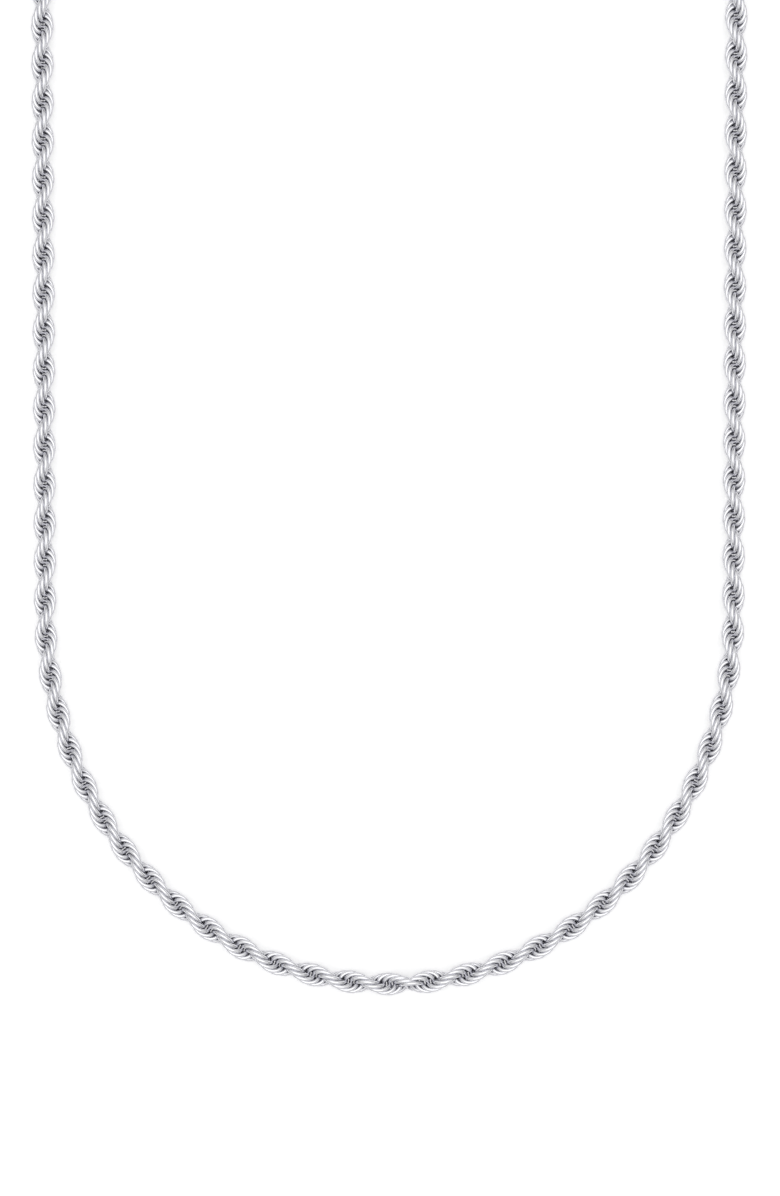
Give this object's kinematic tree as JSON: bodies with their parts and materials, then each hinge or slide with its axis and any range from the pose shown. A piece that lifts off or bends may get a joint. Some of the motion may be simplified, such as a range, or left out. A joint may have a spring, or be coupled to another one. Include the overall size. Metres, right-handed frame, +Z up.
{
  "type": "rope chain necklace",
  "caption": "Polished silver rope chain, laid out as an open U, with a lobster clasp on one end and a catch ring on the other.",
  "frame": {"origin": "middle of the necklace's outline as it lies, on the surface it lies on", "axes": "+Z up from the surface, +Y from the lowest link of the U towards its two ends, +X towards the ring side"},
  "size_m": [0.0964, 0.2046, 0.004],
  "materials": {
    "chain_silver": "bright polished silver",
    "finding_silver": "bright polished silver",
    "spring_steel": "drawn wire"
  },
  "bodies": {
    "rope_centre": {"rope_centre": "chain_silver"},
    "clasp_side_01": {"rope_clasp_side_01": "chain_silver"},
    "clasp_side_02": {"rope_clasp_side_02": "chain_silver"},
    "clasp_side_03": {"rope_clasp_side_03": "chain_silver"},
    "clasp_side_04": {"rope_clasp_side_04": "chain_silver"},
    "clasp_side_05": {"rope_clasp_side_05": "chain_silver"},
    "clasp_side_06": {"rope_clasp_side_06": "chain_silver"},
    "clasp_side_07": {"rope_clasp_side_07": "chain_silver"},
    "clasp_side_08": {"rope_clasp_side_08": "chain_silver"},
    "clasp_side_09": {"rope_clasp_side_09": "chain_silver"},
    "clasp_side_10": {"rope_clasp_side_10": "chain_silver"},
    "clasp_side_11": {"rope_clasp_side_11": "chain_silver"},
    "clasp_side_12": {"rope_clasp_side_12": "chain_silver"},
    "clasp_side_13": {"rope_clasp_side_13": "chain_silver"},
    "clasp_side_14": {"rope_clasp_side_14": "chain_silver"},
    "clasp_side_15": {"rope_clasp_side_15": "chain_silver"},
    "clasp_side_16": {"rope_clasp_side_16": "chain_silver"},
    "clasp_side_17": {"rope_clasp_side_17": "chain_silver"},
    "clasp_side_18": {"rope_clasp_side_18": "chain_silver"},
    "clasp_side_19": {"rope_clasp_side_19": "chain_silver"},
    "clasp_side_20": {"rope_clasp_side_20": "chain_silver", "clasp_side_cap": "finding_silver", "clasp_side_loop": "finding_silver"},
    "ring_side_01": {"rope_ring_side_01": "chain_silver"},
    "ring_side_02": {"rope_ring_side_02": "chain_silver"},
    "ring_side_03": {"rope_ring_side_03": "chain_silver"},
    "ring_side_04": {"rope_ring_side_04": "chain_silver"},
    "ring_side_05": {"rope_ring_side_05": "chain_silver"},
    "ring_side_06": {"rope_ring_side_06": "chain_silver"},
    "ring_side_07": {"rope_ring_side_07": "chain_silver"},
    "ring_side_08": {"rope_ring_side_08": "chain_silver"},
    "ring_side_09": {"rope_ring_side_09": "chain_silver"},
    "ring_side_10": {"rope_ring_side_10": "chain_silver"},
    "ring_side_11": {"rope_ring_side_11": "chain_silver"},
    "ring_side_12": {"rope_ring_side_12": "chain_silver"},
    "ring_side_13": {"rope_ring_side_13": "chain_silver"},
    "ring_side_14": {"rope_ring_side_14": "chain_silver"},
    "ring_side_15": {"rope_ring_side_15": "chain_silver"},
    "ring_side_16": {"rope_ring_side_16": "chain_silver"},
    "ring_side_17": {"rope_ring_side_17": "chain_silver"},
    "ring_side_18": {"rope_ring_side_18": "chain_silver"},
    "ring_side_19": {"rope_ring_side_19": "chain_silver"},
    "ring_side_20": {"rope_ring_side_20": "chain_silver"},
    "ring_side_21": {"rope_ring_side_21": "chain_silver", "ring_side_cap": "finding_silver", "ring_side_loop": "finding_silver"},
    "jump_ring": {"jump_ring": "finding_silver"},
    "clasp": {"clasp_body": "finding_silver", "clasp_pin": "finding_silver", "clasp_spring": "spring_steel"},
    "clasp_lever": {"clasp_lever": "finding_silver"},
    "catch_ring": {"catch_ring": "finding_silver"}
  },
  "joints": [
    {"name": "clasp_arm_bend_01", "type": "hinge", "parent": "rope_centre", "child": "clasp_side_01", "pos_m": [-0.00474, -0.10048, 0.0015], "axis": [0, 0, -1], "range_deg": [-35, 23]},
    {"name": "clasp_arm_lift_01", "type": "hinge", "parent": "clasp_side_01", "child": "clasp_side_02", "pos_m": [-0.01446, -0.09808, 0.0015], "axis": [0.3515, 0.9362, 0], "range_deg": [-35, 35]},
    {"name": "clasp_arm_bend_02", "type": "hinge", "parent": "clasp_side_02", "child": "clasp_side_03", "pos_m": [-0.02336, -0.09348, 0.0015], "axis": [0, 0, 1], "range_deg": [-24, 35]},
    {"name": "clasp_arm_lift_02", "type": "hinge", "parent": "clasp_side_03", "child": "clasp_side_04", "pos_m": [-0.03101, -0.087, 0.0015], "axis": [-0.7247, -0.689, 0], "range_deg": [-35, 35]},
    {"name": "clasp_arm_bend_03", "type": "hinge", "parent": "clasp_side_04", "child": "clasp_side_05", "pos_m": [-0.03709, -0.07904, 0.0015], "axis": [0, 0, -1], "range_deg": [-35, 27]},
    {"name": "clasp_arm_lift_03", "type": "hinge", "parent": "clasp_side_05", "child": "clasp_side_06", "pos_m": [-0.04143, -0.07001, 0.0015], "axis": [0.9397, 0.3419, 0], "range_deg": [-35, 35]},
    {"name": "clasp_arm_bend_04", "type": "hinge", "parent": "clasp_side_06", "child": "clasp_side_07", "pos_m": [-0.04391, -0.0603, 0.0015], "axis": [0, 0, 1], "range_deg": [-31, 35]},
    {"name": "clasp_arm_lift_04", "type": "hinge", "parent": "clasp_side_07", "child": "clasp_side_08", "pos_m": [-0.04454, -0.05029, 0.0015], "axis": [-0.9994, -0.0335, 0], "range_deg": [-35, 35]},
    {"name": "clasp_arm_bend_05", "type": "hinge", "parent": "clasp_side_08", "child": "clasp_side_09", "pos_m": [-0.04458, -0.04025, 0.0015], "axis": [0, 0, -1], "range_deg": [-35, 35]},
    {"name": "clasp_arm_lift_05", "type": "hinge", "parent": "clasp_side_09", "child": "clasp_side_10", "pos_m": [-0.04463, -0.03021, 0.0015], "axis": [1, 0.0047, 0], "range_deg": [-35, 35]},
    {"name": "clasp_arm_bend_06", "type": "hinge", "parent": "clasp_side_10", "child": "clasp_side_11", "pos_m": [-0.04468, -0.02017, 0.0015], "axis": [0, 0, 1], "range_deg": [-35, 35]},
    {"name": "clasp_arm_lift_06", "type": "hinge", "parent": "clasp_side_11", "child": "clasp_side_12", "pos_m": [-0.04473, -0.01013, 0.0015], "axis": [-1, -0.0047, 0], "range_deg": [-35, 35]},
    {"name": "clasp_arm_bend_07", "type": "hinge", "parent": "clasp_side_12", "child": "clasp_side_13", "pos_m": [-0.04477, -0.00009, 0.0015], "axis": [0, 0, -1], "range_deg": [-35, 35]},
    {"name": "clasp_arm_lift_07", "type": "hinge", "parent": "clasp_side_13", "child": "clasp_side_14", "pos_m": [-0.04482, 0.00995, 0.0015], "axis": [1, 0.0047, 0], "range_deg": [-35, 35]},
    {"name": "clasp_arm_bend_08", "type": "hinge", "parent": "clasp_side_14", "child": "clasp_side_15", "pos_m": [-0.04487, 0.01999, 0.0015], "axis": [0, 0, 1], "range_deg": [-35, 35]},
    {"name": "clasp_arm_lift_08", "type": "hinge", "parent": "clasp_side_15", "child": "clasp_side_16", "pos_m": [-0.04491, 0.03003, 0.0015], "axis": [-1, -0.0047, 0], "range_deg": [-35, 35]},
    {"name": "clasp_arm_bend_09", "type": "hinge", "parent": "clasp_side_16", "child": "clasp_side_17", "pos_m": [-0.04496, 0.04007, 0.0015], "axis": [0, 0, -1], "range_deg": [-35, 35]},
    {"name": "clasp_arm_lift_09", "type": "hinge", "parent": "clasp_side_17", "child": "clasp_side_18", "pos_m": [-0.04501, 0.05011, 0.0015], "axis": [1, 0.0047, 0], "range_deg": [-35, 35]},
    {"name": "clasp_arm_bend_10", "type": "hinge", "parent": "clasp_side_18", "child": "clasp_side_19", "pos_m": [-0.04506, 0.06015, 0.0015], "axis": [0, 0, 1], "range_deg": [-35, 35]},
    {"name": "clasp_arm_lift_10", "type": "hinge", "parent": "clasp_side_19", "child": "clasp_side_20", "pos_m": [-0.0451, 0.07019, 0.0015], "axis": [-1, -0.0047, 0], "range_deg": [-35, 35]},
    {"name": "ring_arm_bend_01", "type": "hinge", "parent": "rope_centre", "child": "ring_side_01", "pos_m": [0.00528, -0.10048, 0.0015], "axis": [0, 0, 1], "range_deg": [-35, 23]},
    {"name": "ring_arm_lift_01", "type": "hinge", "parent": "ring_side_01", "child": "ring_side_02", "pos_m": [0.015, -0.09808, 0.0015], "axis": [0.3515, -0.9362, 0], "range_deg": [-35, 35]},
    {"name": "ring_arm_bend_02", "type": "hinge", "parent": "ring_side_02", "child": "ring_side_03", "pos_m": [0.0239, -0.09348, 0.0015], "axis": [0, 0, -1], "range_deg": [-24, 35]},
    {"name": "ring_arm_lift_02", "type": "hinge", "parent": "ring_side_03", "child": "ring_side_04", "pos_m": [0.03155, -0.087, 0.0015], "axis": [-0.7247, 0.689, 0], "range_deg": [-35, 35]},
    {"name": "ring_arm_bend_03", "type": "hinge", "parent": "ring_side_04", "child": "ring_side_05", "pos_m": [0.03763, -0.07904, 0.0015], "axis": [0, 0, 1], "range_deg": [-35, 27]},
    {"name": "ring_arm_lift_03", "type": "hinge", "parent": "ring_side_05", "child": "ring_side_06", "pos_m": [0.04197, -0.07001, 0.0015], "axis": [0.9397, -0.3419, 0], "range_deg": [-35, 35]},
    {"name": "ring_arm_bend_04", "type": "hinge", "parent": "ring_side_06", "child": "ring_side_07", "pos_m": [0.04446, -0.0603, 0.0015], "axis": [0, 0, -1], "range_deg": [-31, 35]},
    {"name": "ring_arm_lift_04", "type": "hinge", "parent": "ring_side_07", "child": "ring_side_08", "pos_m": [0.04508, -0.05029, 0.0015], "axis": [-0.9994, 0.0335, 0], "range_deg": [-35, 35]},
    {"name": "ring_arm_bend_05", "type": "hinge", "parent": "ring_side_08", "child": "ring_side_09", "pos_m": [0.04513, -0.04025, 0.0015], "axis": [0, 0, 1], "range_deg": [-35, 35]},
    {"name": "ring_arm_lift_05", "type": "hinge", "parent": "ring_side_09", "child": "ring_side_10", "pos_m": [0.04517, -0.03021, 0.0015], "axis": [1, -0.0047, 0], "range_deg": [-35, 35]},
    {"name": "ring_arm_bend_06", "type": "hinge", "parent": "ring_side_10", "child": "ring_side_11", "pos_m": [0.04522, -0.02017, 0.0015], "axis": [0, 0, -1], "range_deg": [-35, 35]},
    {"name": "ring_arm_lift_06", "type": "hinge", "parent": "ring_side_11", "child": "ring_side_12", "pos_m": [0.04527, -0.01013, 0.0015], "axis": [-1, 0.0047, 0], "range_deg": [-35, 35]},
    {"name": "ring_arm_bend_07", "type": "hinge", "parent": "ring_side_12", "child": "ring_side_13", "pos_m": [0.04532, -0.00009, 0.0015], "axis": [0, 0, 1], "range_deg": [-35, 35]},
    {"name": "ring_arm_lift_07", "type": "hinge", "parent": "ring_side_13", "child": "ring_side_14", "pos_m": [0.04536, 0.00995, 0.0015], "axis": [1, -0.0047, 0], "range_deg": [-35, 35]},
    {"name": "ring_arm_bend_08", "type": "hinge", "parent": "ring_side_14", "child": "ring_side_15", "pos_m": [0.04541, 0.01999, 0.0015], "axis": [0, 0, -1], "range_deg": [-35, 35]},
    {"name": "ring_arm_lift_08", "type": "hinge", "parent": "ring_side_15", "child": "ring_side_16", "pos_m": [0.04546, 0.03003, 0.0015], "axis": [-1, 0.0047, 0], "range_deg": [-35, 35]},
    {"name": "ring_arm_bend_09", "type": "hinge", "parent": "ring_side_16", "child": "ring_side_17", "pos_m": [0.04551, 0.04007, 0.0015], "axis": [0, 0, 1], "range_deg": [-35, 35]},
    {"name": "ring_arm_lift_09", "type": "hinge", "parent": "ring_side_17", "child": "ring_side_18", "pos_m": [0.04555, 0.05011, 0.0015], "axis": [1, -0.0047, 0], "range_deg": [-35, 35]},
    {"name": "ring_arm_bend_10", "type": "hinge", "parent": "ring_side_18", "child": "ring_side_19", "pos_m": [0.0456, 0.06015, 0.0015], "axis": [0, 0, -1], "range_deg": [-35, 35]},
    {"name": "ring_arm_lift_10", "type": "hinge", "parent": "ring_side_19", "child": "ring_side_20", "pos_m": [0.04565, 0.07019, 0.0015], "axis": [-1, 0.0047, 0], "range_deg": [-35, 35]},
    {"name": "ring_arm_bend_11", "type": "hinge", "parent": "ring_side_20", "child": "ring_side_21", "pos_m": [0.04569, 0.08023, 0.0015], "axis": [0, 0, 1], "range_deg": [-35, 35]},
    {"name": "jump_ring_swing", "type": "hinge", "parent": "clasp_side_20", "child": "jump_ring", "pos_m": [-0.04519, 0.08833, 0.0017], "axis": [1, 0.0047, 0], "range_deg": [-65, 65]},
    {"name": "clasp_swing", "type": "hinge", "parent": "jump_ring", "child": "clasp", "pos_m": [-0.0452, 0.09093, 0.002], "axis": [0, 0, 1], "range_deg": [-70, 70]},
    {"name": "clasp_lever_hinge", "type": "hinge", "parent": "clasp", "child": "clasp_lever", "pos_m": [-0.04347, 0.09519, 0.0014], "axis": [0, 0, 1], "range_deg": [0, 32], "stiffness_Nm_per_rad": 0.0005, "springref_deg": -17.19},
    {"name": "catch_ring_swing", "type": "hinge", "parent": "ring_side_21", "child": "catch_ring", "pos_m": [0.04578, 0.09757, 0.00165], "axis": [1, -0.0047, 0], "range_deg": [-70, 100]}
  ]
}
